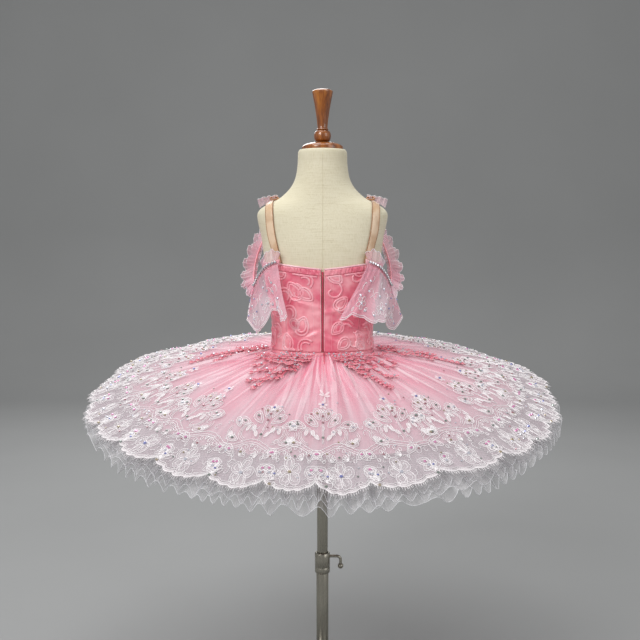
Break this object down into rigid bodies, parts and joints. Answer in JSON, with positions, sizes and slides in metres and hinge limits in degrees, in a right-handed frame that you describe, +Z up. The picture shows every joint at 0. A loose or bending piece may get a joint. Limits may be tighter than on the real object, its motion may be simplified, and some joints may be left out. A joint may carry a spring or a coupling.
{
  "type": "ballet tutu on a limbless dress form with a stand",
  "caption": "Child's pink ballet tutu with a stiff lace-edged skirt, boned satin bodice and lace sleeves, worn by a limbless dress form on a telescopic stand.",
  "frame": {"origin": "middle of the base plate's underside, on the floor", "axes": "+Z up along the stand's pole; -Y out of the garment's back, where the zip is; +X to the wearer's right"},
  "size_m": [0.828, 0.828, 1.07],
  "materials": {
    "rose_satin": "satin with corded relief, soft sheen",
    "pale_piping": "satin piping",
    "zip_crimson": "woven tape with fine coil",
    "beige_elastic": "satin elastic",
    "pink_tulle": "fine gathered tulle",
    "white_tulle": "stiff white net",
    "white_lace": "corded embroidery on net",
    "rose_beading": "beaded applique",
    "crystal": "cut stones in metal cups",
    "linen": "slubbed linen, matt",
    "turned_wood": "varnished, gloss",
    "tube_steel": "polished nickel",
    "base_steel": "brushed, satin"
  },
  "bodies": {
    "stand": {"base_plate": "base_steel", "base_hub": "tube_steel", "outer_tube": "tube_steel", "clamp_collar": "tube_steel"},
    "clamp_handle": {"clamp_handle": "tube_steel"},
    "mast": {"inner_tube": "tube_steel"},
    "figure": {"form_torso": "linen", "neck_cap": "turned_wood", "finial": "turned_wood", "bodice_back_right": "rose_satin", "bodice_side_back_right": "rose_satin", "bodice_side_front_right": "rose_satin", "bodice_front": "rose_satin", "bodice_side_front_left": "rose_satin", "bodice_side_back_left": "rose_satin", "bodice_back_left": "rose_satin", "neckline_piping": "pale_piping", "back_zip": "zip_crimson", "strap_left": "beige_elastic", "shoulder_frill_left": "pink_tulle", "arm_band_left": "pink_tulle", "tulle_fan_left": "pink_tulle", "arm_ruffle_left": "pink_tulle", "gem_chain_left": "crystal", "lace_drape_left": "white_lace", "strap_right": "beige_elastic", "shoulder_frill_right": "pink_tulle", "arm_band_right": "pink_tulle", "tulle_fan_right": "pink_tulle", "arm_ruffle_right": "pink_tulle", "gem_chain_right": "crystal", "lace_drape_right": "white_lace", "overskirt_lace": "white_lace", "underskirt_pink": "pink_tulle", "net_upper": "white_tulle", "net_middle": "white_tulle", "net_lower": "white_tulle", "hip_basque": "rose_satin", "spray_back_left": "rose_beading", "spray_back_right": "rose_beading", "spray_side_left": "rose_beading", "spray_side_right": "rose_beading"}
  },
  "joints": [
    {"name": "mast_slide", "type": "slide", "parent": "stand", "child": "mast", "axis": [0, 0, 1], "range_m": [-0.08, 0.06]},
    {"name": "figure_swivel", "type": "hinge", "parent": "mast", "child": "figure", "pos_m": [0, 0, 0.5], "axis": [0, 0, 1], "continuous": true},
    {"name": "clamp_screw", "type": "hinge", "parent": "stand", "child": "clamp_handle", "pos_m": [0.02, 0, 0.237], "axis": [1, 0, 0], "range_deg": [-180, 180]}
  ]
}
